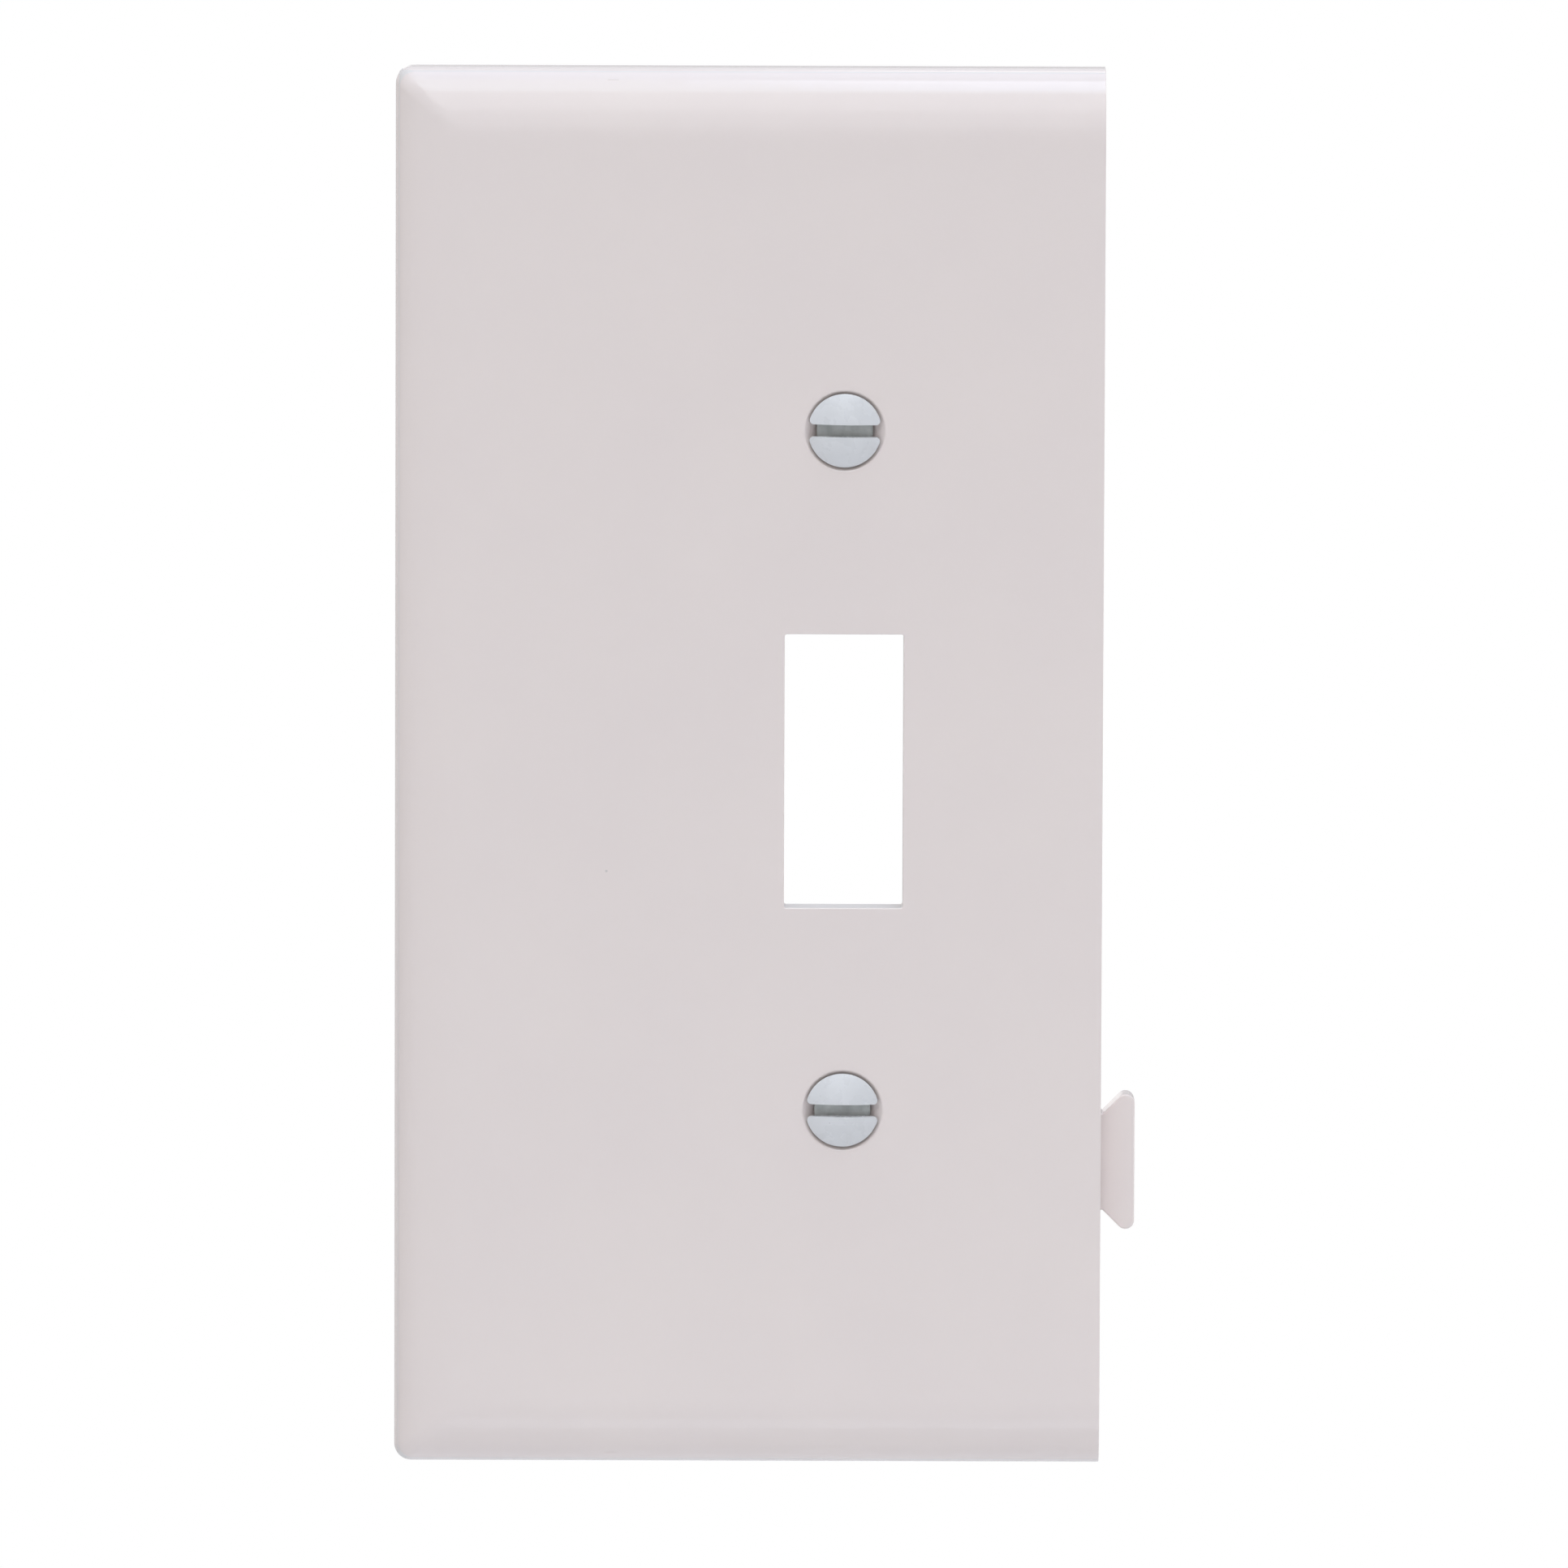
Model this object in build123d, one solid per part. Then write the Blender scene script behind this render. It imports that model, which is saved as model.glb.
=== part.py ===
from build123d import *
import os
from math import asin, atan, cos, radians, sin, sqrt, tan

# End section of a sectional toggle-switch wall plate, with its two fixing screws, in millimetres.
# +X runs right towards the next section, +Z up, and the front faces -Y. The wall plane is y = 0, and
# the origin lies in it, midway between the screw axes. "Height" below is distance in front of the wall.

# ---- driving dimensions: plate ----
PLATE_HEIGHT = 124.0  # top edge to bottom edge
OUTER_REACH = 39.69  # screw line to the free left edge
JOINT_REACH = 22.87  # screw line to the joint edge
GANG_PITCH = 46.04  # screw line to the next section's screw line
PLATE_DEPTH = 5.8  # wall plane to front face
FACE_WALL = 2.45  # thickness of the front wall
RIM_WALL = 2.0  # thickness of the left, top and bottom rims
JOINT_WALL = 1.8  # thickness of the wall along the joint edge
CAVITY_CORNER = 1.0
CAVITY_FLOOR_FILLET = 0.8

# ---- driving dimensions: rounded bevel along the free edges ----
BEVEL_WIDTH = 6.4  # free edge to the flat of the front face
BEVEL_KNEE = 2.06  # free edge to where the tight arc meets the shallow arc
SHALLOW_RADIUS = 12.0
OUTLINE_CORNER = 1.5  # corner radius in plan, at the wall
CREASE_CORNER = 0.8  # corner radius in plan, where the bevel meets the flat
TIGHT_STEPS = 7  # sections lofted along the tight arc
SHALLOW_STEPS = 5  # sections lofted along the shallow arc
JOINT_EDGE_FILLET = 0.35

# ---- driving dimensions: switch opening ----
OPENING_WIDTH = 10.5
OPENING_HEIGHT = 24.3
OPENING_CORNER = 0.2
OPENING_LIP = 1.3  # width of the collar round the opening, on the back
OPENING_WALL = 3.3  # thickness of the plate at the opening, collar included
OPENING_EDGE_FILLET = 0.13

# ---- driving dimensions: screw seats ----
SCREW_SPACING = 60.325
SEAT_RADIUS = 3.565  # countersink, at the front face
SEAT_ANGLE = 82.0
SEAT_EDGE_FILLET = 0.1
HOLE_RADIUS = 2.0
BOSS_RADIUS = 4.3
BOSS_END = 2.4  # height of the boss's end face

# ---- driving dimensions: dovetail joint ----
DOVETAIL_DROP = 35.0  # plate centre down to the tongue's centre, and up to the socket's
TONGUE_LENGTH = 3.05
TONGUE_ROOT_HALF = 4.07  # half width of the tongue at the joint edge, before its root fillets
TONGUE_THICKNESS = 3.2
TONGUE_TIP_FILLET = 0.78
TONGUE_ROOT_FILLET = 0.17
TONGUE_FACE_FILLET = 0.12
SOCKET_CLEARANCE = 0.12
SOCKET_SURROUND = 1.6  # wall round the socket

# ---- driving dimensions: back of the face ----
RIB_WIDTH = 1.0
RIB_RISE = 1.0
RIB_X = -20.5
EJECTOR_RADIUS = 2.5
EJECTOR_DEPTH = 0.12
EJECTOR_PLACES = [(-29.5, 49.0), (-29.5, 0.0), (-29.5, -49.0), (13.5, 54.0), (13.5, 0.0), (13.5, -54.0)]

# ---- driving dimensions: slotted oval-head screw, number 6-32 by half an inch ----
THREAD_RADIUS = 1.7525
NECK_RADIUS = 1.5  # plain neck between the head and the thread
SCREW_LENGTH = 12.7  # head rim to tip
TIP_CHAMFER = 0.45
HEAD_RADIUS = 3.25
HEAD_LAND = 0.12  # straight band between the head's cone and its dome
DOME_RISE = 0.75
DOME_EDGE_FILLET = 0.08
SLOT_WIDTH = 1.1
SLOT_DEPTH = 0.75  # head rim down to the slot's floor
SLOT_LIP_FILLET = 0.09
SLOT_END_BEVEL = 0.4  # from the floor's end to where it would meet the cone if it went on level
SLOT_END_TILT = 25.0
SEAT_GAP = 0.05  # radial gap between the head's cone and its seat, with the screw seated
HEAD_LIFT = 0.35  # how far the loose screw stands out of its seat at rest
UPPER_SLOT_TILT = 0.7  # degrees clockwise from level, seen from the front
LOWER_SLOT_TILT = 0.3

# ---- driving dimensions: screw-retaining washer ----
WASHER_RADIUS = 3.9
WASHER_HOLE_RADIUS = 1.55
WASHER_THICKNESS = 0.8
WASHER_THREAD_GAP = 0.05  # washer's back to the start of the thread
WASHER_SLACK = 1.2  # boss end to washer, at rest
WASHER_CHAMFER = 0.12

MARGIN = 1.0  # how far cutting tools run past what they cut

# ---- worked out from the above ----
HALF_HEIGHT = PLATE_HEIGHT / 2
CAVITY_DEPTH = PLATE_DEPTH - FACE_WALL
SEAT_SLOPE = tan(radians(SEAT_ANGLE / 2))
SEAT_DEPTH = (SEAT_RADIUS - HOLE_RADIUS) / SEAT_SLOPE
KNEE_TILT = asin((BEVEL_WIDTH - BEVEL_KNEE) / SHALLOW_RADIUS)
KNEE_HEIGHT = PLATE_DEPTH - SHALLOW_RADIUS * (1 - cos(KNEE_TILT))
TIGHT_RADIUS = BEVEL_KNEE / (1 - sin(KNEE_TILT))
RIM_HEIGHT = KNEE_HEIGHT - TIGHT_RADIUS * cos(KNEE_TILT)
SEATED_RIM_HEIGHT = PLATE_DEPTH - (SEAT_RADIUS - HEAD_RADIUS - SEAT_GAP) / SEAT_SLOPE
HEAD_RIM_HEIGHT = SEATED_RIM_HEIGHT + HEAD_LIFT
WASHER_FRONT = BOSS_END - WASHER_SLACK
NECK_END = WASHER_FRONT - WASHER_THICKNESS - WASHER_THREAD_GAP


def prism(sketch, low, high):
    """A face drawn in (x, z), run from one height in front of the wall to another."""
    return extrude(Plane.XZ.offset(low) * sketch, high - low)


def block(left, right, bottom, top, low, high):
    """A box between two x values, two z values and two heights."""
    sketch = Pos((left + right) / 2, (bottom + top) / 2) * Rectangle(right - left, top - bottom)
    return prism(sketch, low, high)


def turned(profile):
    """A solid of revolution about the Y axis, from a face drawn in (radius, y)."""
    return revolve(profile, Axis.Y)


def bevel_profile():
    """Inset and height of each section along the bevel, from the rim's top to the flat face."""
    quarter = radians(90)
    points = []
    for step in range(TIGHT_STEPS + 1):
        tilt = quarter + (KNEE_TILT - quarter) * step / TIGHT_STEPS
        points.append((TIGHT_RADIUS * (1 - sin(tilt)), RIM_HEIGHT + TIGHT_RADIUS * cos(tilt)))
    for step in range(1, SHALLOW_STEPS + 1):
        tilt = KNEE_TILT * (1 - step / SHALLOW_STEPS)
        drop = SHALLOW_RADIUS * (1 - cos(tilt))
        points.append((BEVEL_WIDTH - SHALLOW_RADIUS * sin(tilt), PLATE_DEPTH - drop))
    return points


def outline(inset, height):
    """The plate's outline at a height: two rounded free corners, and square where it meets the joint."""
    radius = CREASE_CORNER + (OUTLINE_CORNER - CREASE_CORNER) * (1 - inset / BEVEL_WIDTH) ** 3
    bulge = radius * (1 - sqrt(0.5))
    left = inset - OUTER_REACH
    right = JOINT_REACH + MARGIN
    top = HALF_HEIGHT - inset
    y = -height
    return Wire(
        [
            Line((right, y, -top), (left + radius, y, -top)),
            ThreePointArc((left + radius, y, -top), (left + bulge, y, bulge - top), (left, y, radius - top)),
            Line((left, y, radius - top), (left, y, top - radius)),
            ThreePointArc((left, y, top - radius), (left + bulge, y, top - bulge), (left + radius, y, top)),
            Line((left + radius, y, top), (right, y, top)),
            Line((right, y, top), (right, y, -top)),
        ]
    )


def plate_blank():
    """The solid outer form: a straight rim, the lofted bevel, and a square cut at the joint edge."""
    rim = Solid.extrude(Face(outline(0, 0)), Vector(0, -RIM_HEIGHT, 0))
    bevel = Solid.make_loft([outline(inset, height) for inset, height in bevel_profile()])
    reach = OUTER_REACH + MARGIN
    joint_cut = block(-reach, JOINT_REACH, -PLATE_HEIGHT, PLATE_HEIGHT, -MARGIN, PLATE_DEPTH + MARGIN)
    blank = (rim + bevel) & joint_cut
    on_joint = blank.edges().filter_by_position(Axis.X, JOINT_REACH - 0.001, JOINT_REACH + 0.001)
    front_edges = on_joint.filter_by_position(Axis.Y, -PLATE_DEPTH, -RIM_HEIGHT - 0.001)
    return fillet(front_edges, JOINT_EDGE_FILLET)


def cavity():
    """The hollow behind the front wall."""
    left = RIM_WALL - OUTER_REACH
    right = JOINT_REACH - JOINT_WALL
    width = right - left
    tall = PLATE_HEIGHT - 2 * RIM_WALL
    sketch = Pos((left + right) / 2, 0) * RectangleRounded(width, tall, CAVITY_CORNER)
    hollow = prism(sketch, -MARGIN, CAVITY_DEPTH)
    return fillet(hollow.faces().sort_by(Axis.Y)[0].edges(), CAVITY_FLOOR_FILLET)


def dovetail(root_x, direction, grow):
    """The dovetail's flat shape in (x, z), running in +X or -X from a strip behind its root."""
    slack = grow * (sqrt(2) - 1)
    tip_x = root_x + direction * (TONGUE_LENGTH + grow)
    back_x = root_x - direction * MARGIN
    root_half = TONGUE_ROOT_HALF + grow + slack
    tip_half = TONGUE_ROOT_HALF + TONGUE_LENGTH + 2 * grow + slack
    strip_half = root_half + MARGIN
    flat = make_face(
        Polyline(
            (back_x, strip_half),
            (root_x, strip_half),
            (root_x, root_half),
            (tip_x, tip_half),
            (tip_x, -tip_half),
            (root_x, -root_half),
            (root_x, -strip_half),
            (back_x, -strip_half),
            close=True,
        )
    )
    tips = flat.vertices().filter_by_position(Axis.X, tip_x - 0.001, tip_x + 0.001)
    flat = fillet(tips, TONGUE_TIP_FILLET)
    roots = flat.vertices().filter_by_position(Axis.X, root_x - 0.001, root_x + 0.001)
    inner = roots.filter_by_position(Axis.Y, 0.001 - strip_half, strip_half - 0.001)
    return fillet(inner, TONGUE_ROOT_FILLET)


def tongue():
    """The dovetail tongue on the lower half of the joint edge, flush with the wall plane."""
    flat = Pos(0, -DOVETAIL_DROP) * dovetail(JOINT_REACH, 1, 0)
    body = prism(flat, 0, TONGUE_THICKNESS)
    return fillet(body.faces().sort_by(Axis.Y)[0].edges(), TONGUE_FACE_FILLET)


def socket_block():
    """The thick part behind the upper half of the joint edge that the socket is cut into."""
    half = TONGUE_ROOT_HALF + TONGUE_LENGTH + SOCKET_SURROUND
    left = GANG_PITCH - JOINT_REACH - TONGUE_LENGTH - SOCKET_CLEARANCE - SOCKET_SURROUND
    flat = Pos((left + JOINT_REACH) / 2, DOVETAIL_DROP) * Rectangle(JOINT_REACH - left, 2 * half)
    inner = flat.vertices().filter_by_position(Axis.X, left - 0.001, left + 0.001)
    return prism(fillet(inner, CAVITY_CORNER), 0, CAVITY_DEPTH + MARGIN)


def socket():
    """The space the next section's tongue drops into, open at the wall plane and at the joint edge."""
    flat = Pos(0, DOVETAIL_DROP) * dovetail(GANG_PITCH - JOINT_REACH, -1, SOCKET_CLEARANCE)
    return prism(flat, -MARGIN, CAVITY_DEPTH)


def boss(z):
    """The round boss behind a screw seat."""
    return Pos(0, 0, z) * prism(Circle(BOSS_RADIUS), BOSS_END, CAVITY_DEPTH + MARGIN)


def screw_seat(z):
    """The countersink and its clearance hole, as one cutting tool."""
    face = -PLATE_DEPTH
    flare = SEAT_RADIUS + MARGIN * SEAT_SLOPE
    profile = Polyline(
        (0, face - MARGIN),
        (flare, face - MARGIN),
        (HOLE_RADIUS, face + SEAT_DEPTH),
        (HOLE_RADIUS, MARGIN),
        (0, MARGIN),
        close=True,
    )
    return Pos(0, 0, z) * turned(make_face(profile))


def opening_collar():
    """The raised collar round the switch opening, on the back."""
    width = OPENING_WIDTH + 2 * OPENING_LIP
    height = OPENING_HEIGHT + 2 * OPENING_LIP
    flat = RectangleRounded(width, height, CAVITY_CORNER)
    return prism(flat, PLATE_DEPTH - OPENING_WALL, CAVITY_DEPTH + MARGIN)


def rib():
    """The stiffening rib on the back of the face, from the top rim to the bottom one."""
    half = RIB_WIDTH / 2
    end = HALF_HEIGHT - RIM_WALL / 2
    return block(RIB_X - half, RIB_X + half, -end, end, CAVITY_DEPTH - RIB_RISE, CAVITY_DEPTH + MARGIN)


def plate_section():
    """The whole moulding."""
    body = plate_blank() - cavity()
    body += rib() + socket_block() + opening_collar()
    for z in (SCREW_SPACING / 2, -SCREW_SPACING / 2):
        body += boss(z)
    body += tongue()
    body -= socket()
    body -= prism(RectangleRounded(OPENING_WIDTH, OPENING_HEIGHT, OPENING_CORNER), 0, PLATE_DEPTH + MARGIN)
    for z in (SCREW_SPACING / 2, -SCREW_SPACING / 2):
        body -= screw_seat(z)
    for x, z in EJECTOR_PLACES:
        body -= prism(Pos(x, z) * Circle(EJECTOR_RADIUS), 0, CAVITY_DEPTH + EJECTOR_DEPTH)
    return round_plate_edges(body)


def round_plate_edges(body):
    """Small radii on the front edges of the opening and the screw seats."""
    for at_seat, radius in ((False, OPENING_EDGE_FILLET), (True, SEAT_EDGE_FILLET)):
        front = body.faces().filter_by(Plane.XZ).sort_by(Axis.Y)[0]
        edges = front.inner_wires().edges()
        body = fillet([e for e in edges if (abs(e.center().Z) > OPENING_HEIGHT) == at_seat], radius)
    return body


def slot_cutter():
    """The driver slot, right across the head, with a small bevel where its floor runs out at each end."""
    floor = SLOT_DEPTH - HEAD_RIM_HEIGHT
    front = -PLATE_DEPTH - 2 * MARGIN
    floor_half = HEAD_RADIUS - SLOT_DEPTH * SEAT_SLOPE - SLOT_END_BEVEL
    wide = 2 * HEAD_RADIUS
    drop = floor + (wide - floor_half) * tan(radians(SLOT_END_TILT))
    side = Polyline(
        (wide, front),
        (wide, drop),
        (floor_half, floor),
        (-floor_half, floor),
        (-wide, drop),
        (-wide, front),
        close=True,
    )
    return extrude(make_face(side), SLOT_WIDTH / 2, both=True)


def screw(z, slot_tilt):
    """A slotted oval-head screw in its countersink. Its thread is a plain cylinder at the crest."""
    rim = -HEAD_RIM_HEIGHT
    dome_base = rim - HEAD_LAND
    dome_top = dome_base - DOME_RISE
    dome_radius = (HEAD_RADIUS**2 + DOME_RISE**2) / (2 * DOME_RISE)
    half_angle = atan(HEAD_RADIUS / (dome_radius - DOME_RISE)) / 2
    shoulder = (dome_radius * sin(half_angle), dome_top + dome_radius * (1 - cos(half_angle)))
    tip = rim + SCREW_LENGTH
    profile = [
        ThreePointArc((0, dome_top), shoulder, (HEAD_RADIUS, dome_base)),
        Polyline(
            (HEAD_RADIUS, dome_base),
            (HEAD_RADIUS, rim),
            (NECK_RADIUS, rim + (HEAD_RADIUS - NECK_RADIUS) / SEAT_SLOPE),
            (NECK_RADIUS, -NECK_END),
            (THREAD_RADIUS, THREAD_RADIUS - NECK_RADIUS - NECK_END),
            (THREAD_RADIUS, tip - TIP_CHAMFER),
            (THREAD_RADIUS - TIP_CHAMFER, tip),
            (0, tip),
            (0, dome_top),
        ),
    ]
    half_section = make_face(profile)
    dome_corner = half_section.vertices().sort_by_distance((HEAD_RADIUS, dome_base, 0))[0]
    body = turned(fillet(dome_corner, DOME_EDGE_FILLET))
    body -= slot_cutter()
    walls = body.faces().filter_by(Axis.Z)
    lips = [edge for wall in walls for edge in wall.edges().sort_by(Axis.Y)[:1]]
    body = fillet(lips, SLOT_LIP_FILLET)
    return Pos(0, 0, z) * Rot(0, slot_tilt, 0) * body


def retaining_washer(z):
    """The push-on washer round the neck, which the thread can't pass, so the screw stays in the plate."""
    flat = Circle(WASHER_RADIUS) - Circle(WASHER_HOLE_RADIUS)
    ring = prism(flat, WASHER_FRONT - WASHER_THICKNESS, WASHER_FRONT)
    rims = ring.edges().filter_by(GeomType.CIRCLE).sort_by(SortBy.RADIUS)[-2:]
    return Pos(0, 0, z) * chamfer(rims, WASHER_CHAMFER)


parts = {
    "plate_section": plate_section(),
    "upper_screw": screw(SCREW_SPACING / 2, UPPER_SLOT_TILT),
    "lower_screw": screw(-SCREW_SPACING / 2, LOWER_SLOT_TILT),
    "upper_retaining_washer": retaining_washer(SCREW_SPACING / 2),
    "lower_retaining_washer": retaining_washer(-SCREW_SPACING / 2),
}
os.makedirs("parts", exist_ok=True)
for name, shape in parts.items():
    export_step(shape, f"parts/{name}.step")
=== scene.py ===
"""Looks of the wall plate section: a moulded white plate, two painted screws and their washers.

Sizes are in millimetres and turned into the frame's metres as each mesh is made. A "height" is a
distance in front of the wall plane, which is y = 0; the front of the plate faces -Y.
"""

import math

import bmesh
import bpy
from mathutils import Matrix, Vector


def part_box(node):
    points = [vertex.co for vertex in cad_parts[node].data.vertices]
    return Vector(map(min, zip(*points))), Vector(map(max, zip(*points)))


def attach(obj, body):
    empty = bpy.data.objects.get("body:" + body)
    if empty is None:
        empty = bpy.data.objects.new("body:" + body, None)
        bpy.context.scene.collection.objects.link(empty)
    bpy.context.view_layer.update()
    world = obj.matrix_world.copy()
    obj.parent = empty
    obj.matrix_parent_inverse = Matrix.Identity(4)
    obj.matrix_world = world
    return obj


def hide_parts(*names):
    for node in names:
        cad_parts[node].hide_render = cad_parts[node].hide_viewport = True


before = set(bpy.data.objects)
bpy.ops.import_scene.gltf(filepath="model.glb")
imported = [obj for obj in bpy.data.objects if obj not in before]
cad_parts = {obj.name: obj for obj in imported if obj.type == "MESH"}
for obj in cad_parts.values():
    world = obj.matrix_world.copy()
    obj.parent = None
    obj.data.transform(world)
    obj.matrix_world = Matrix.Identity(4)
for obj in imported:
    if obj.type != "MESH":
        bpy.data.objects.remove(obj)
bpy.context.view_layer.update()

MM = 0.001
SMALL = 0.001  # how near two values in millimetres count as the same place
MARGIN = 1.0  # how far cutting tools run past what they cut

# ---- plate, as in the frame ----
plate_low, plate_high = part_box("plate_section")
HALF_HEIGHT = plate_high.z / MM
OUTER_REACH = -plate_low.x / MM
TONGUE_LENGTH = 3.05
JOINT_REACH = plate_high.x / MM - TONGUE_LENGTH
GANG_PITCH = 46.04
PLATE_DEPTH = 5.8
FACE_WALL = 2.45
RIM_WALL = 2.0
JOINT_WALL = 1.8
CAVITY_DEPTH = PLATE_DEPTH - FACE_WALL
CAVITY_CORNER = 1.0
CAVITY_FLOOR_RADIUS = 0.8

BEVEL_WIDTH = 6.4
BEVEL_KNEE = 2.06
SHALLOW_RADIUS = 12.0
OUTLINE_CORNER = 1.5
CREASE_CORNER = 0.8
KNEE_TILT = math.asin((BEVEL_WIDTH - BEVEL_KNEE) / SHALLOW_RADIUS)
TIGHT_RADIUS = BEVEL_KNEE / (1 - math.sin(KNEE_TILT))
RIM_HEIGHT = PLATE_DEPTH - SHALLOW_RADIUS * (1 - math.cos(KNEE_TILT)) - TIGHT_RADIUS * math.cos(KNEE_TILT)
JOINT_EDGE_RADIUS = 0.35

OPENING_WIDTH = 10.5
OPENING_HEIGHT = 24.3
OPENING_CORNER = 0.2
OPENING_WALL = 3.3
OPENING_LIP = 1.3
FRONT_EDGE_RADIUS = 0.12

SCREW_SPACING = 60.325
SEAT_RADIUS = 3.565
SEAT_SLOPE = math.tan(math.radians(41))
HOLE_RADIUS = 2.0
BOSS_RADIUS = 4.3
BOSS_END = 2.4

DOVETAIL_DROP = 35.0
TONGUE_ROOT_HALF = 4.07
TONGUE_THICKNESS = 3.2
TONGUE_TIP_RADIUS = 0.78
TONGUE_ROOT_RADIUS = 0.17
TONGUE_EDGE_RADIUS = 0.38
SOCKET_CLEARANCE = 0.12
SOCKET_SURROUND = 1.6

RIB_WIDTH = 1.0
RIB_RISE = 1.0
RIB_X = -20.5
EJECTOR_RADIUS = 2.5
EJECTOR_DEPTH = 0.12
EJECTOR_PLACES = [(-29.5, 49.0), (-29.5, 0.0), (-29.5, -49.0), (13.5, 54.0), (13.5, 0.0), (13.5, -54.0)]

# ---- screws and washers, as in the frame ----
THREAD_RADIUS = 1.7525
NECK_RADIUS = 1.5
THREAD_PITCH = 25.4 / 32
THREAD_DEPTH = 0.46
THREAD_ROOT_WIDTH = 0.12
THREAD_CREST_SHARE = 0.43  # half the groove's width at the crest, over the pitch
THREAD_RUN_OUT = 0.75  # turns over which the groove deepens from nothing
SCREW_LENGTH = 12.7
TIP_CHAMFER = 0.45
HEAD_RADIUS = 3.25
HEAD_LAND = 0.12
DOME_RISE = 0.75
DOME_EDGE_RADIUS = 0.08
SLOT_WIDTH = 1.1
SLOT_DEPTH = 0.75
SLOT_LIP_RADIUS = 0.09
SLOT_END_BEVEL = 0.4
SLOT_END_TILT = 25.0
SLOT_MOUTH = 2.757  # where the slot starts to widen at each end
SLOT_MOUTH_RADIUS = 0.35
SLOT_MOUTH_SWEEP = 108  # degrees of each corner's arc, which runs it out past the rim
SLOT_MOUTH_DEPTH = 0.6  # below the rim, where the cone lies inside the corners
SEAT_GAP = 0.05
HEAD_LIFT = 0.35
HEAD_RIM_HEIGHT = PLATE_DEPTH - (SEAT_RADIUS - HEAD_RADIUS - SEAT_GAP) / SEAT_SLOPE + HEAD_LIFT
HEAD_SHIFT = (-0.02, 0.035)  # the loose screw leans, which puts its rim a little off the axis
SLOT_TILTS = {"upper": 0.7, "lower": 0.3}

WASHER_RADIUS = 3.9
WASHER_HOLE_RADIUS = 1.55
WASHER_THICKNESS = 0.8
WASHER_THREAD_GAP = 0.05
WASHER_SLACK = 1.2
WASHER_CHAMFER = 0.12
WASHER_FRONT = BOSS_END - WASHER_SLACK
NECK_END = WASHER_FRONT - WASHER_THICKNESS - WASHER_THREAD_GAP


# ---- mesh helpers ----
def arc(centre, radius, start, end, steps):
    """Points round an arc, angles in degrees, both ends included."""
    angles = [math.radians(start + (end - start) * i / steps) for i in range(steps + 1)]
    return [(centre[0] + radius * math.cos(a), centre[1] + radius * math.sin(a)) for a in angles]


def rounded_outline(corners, radii, steps=8):
    """A closed outline with each corner rounded to its radius; corners run one way round."""
    points = []
    count = len(corners)
    for i, (corner, radius) in enumerate(zip(corners, radii)):
        here = Vector(corner)
        before = (Vector(corners[i - 1]) - here).normalized()
        after = (Vector(corners[(i + 1) % count]) - here).normalized()
        if radius == 0:
            points.append(tuple(here))
            continue
        half = before.angle(after) / 2
        centre = here + (before + after).normalized() * (radius / math.sin(half))
        first = here + before * (radius / math.tan(half)) - centre
        last = here + after * (radius / math.tan(half)) - centre
        sweep = math.atan2(first.x * last.y - first.y * last.x, first.dot(last))
        for step in range(steps + 1):
            turn = Matrix.Rotation(sweep * step / steps, 2)
            points.append(tuple(centre + turn @ first))
    return points


def rectangle(width, height, radius, steps=8):
    half_w, half_h = width / 2, height / 2
    corners = [(-half_w, -half_h), (half_w, -half_h), (half_w, half_h), (-half_w, half_h)]
    return rounded_outline(corners, [radius] * 4, steps)


def shifted(points, dx, dz):
    return [(x + dx, z + dz) for x, z in points]


def piece_from(bm, name):
    """A new object from a bmesh held in millimetres as (x, height, z)."""
    for vert in bm.verts:
        vert.co = Vector((vert.co.x, -vert.co.y, vert.co.z)) * MM
    bmesh.ops.recalc_face_normals(bm, faces=bm.faces)
    mesh = bpy.data.meshes.new(name)
    bm.to_mesh(mesh)
    bm.free()
    piece = bpy.data.objects.new(name, mesh)
    bpy.context.scene.collection.objects.link(piece)
    return piece


def loft(loops, name="tool"):
    """A closed solid through closed loops of (x, height, z), capped at both ends."""
    bm = bmesh.new()
    rings = [[bm.verts.new(point) for point in loop] for loop in loops]
    for low, high in zip(rings, rings[1:]):
        for i in range(len(low)):
            j = (i + 1) % len(low)
            bm.faces.new((low[i], low[j], high[j], high[i]))
    bm.faces.new(rings[0])
    bm.faces.new(rings[-1])
    return piece_from(bm, name)


def prism(outline, low, high, name="tool"):
    """An outline in (x, z), run from one height to another."""
    return loft([[(x, height, z) for x, z in outline] for height in (low, high)], name)


def block(left, right, bottom, top, low, high):
    return prism([(left, bottom), (right, bottom), (right, top), (left, top)], low, high)


def lathe(profile, z, segments=96, name="tool"):
    """A solid turned about a screw axis, from (radius, height) points that start and end on the axis."""
    bm = bmesh.new()
    rings = []
    for radius, height in profile:
        if radius < SMALL:
            rings.append([bm.verts.new((0, height, z))])
            continue
        turns = [2 * math.pi * i / segments for i in range(segments)]
        rings.append([bm.verts.new((radius * math.cos(t), height, z + radius * math.sin(t))) for t in turns])
    for low, high in zip(rings, rings[1:]):
        for i in range(segments):
            j = (i + 1) % segments
            corners = [low[i % len(low)], low[j % len(low)], high[j % len(high)], high[i % len(high)]]
            bm.faces.new(list(dict.fromkeys(corners)))
    return piece_from(bm, name)


def combine(piece, tool, operation):
    """Joins, cuts or trims a piece with a tool, and removes the tool."""
    modifier = piece.modifiers.new("combine", "BOOLEAN")
    modifier.operation = operation
    modifier.object = tool
    modifier.solver = "EXACT"
    freeze(piece)
    bpy.data.objects.remove(tool)


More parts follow.
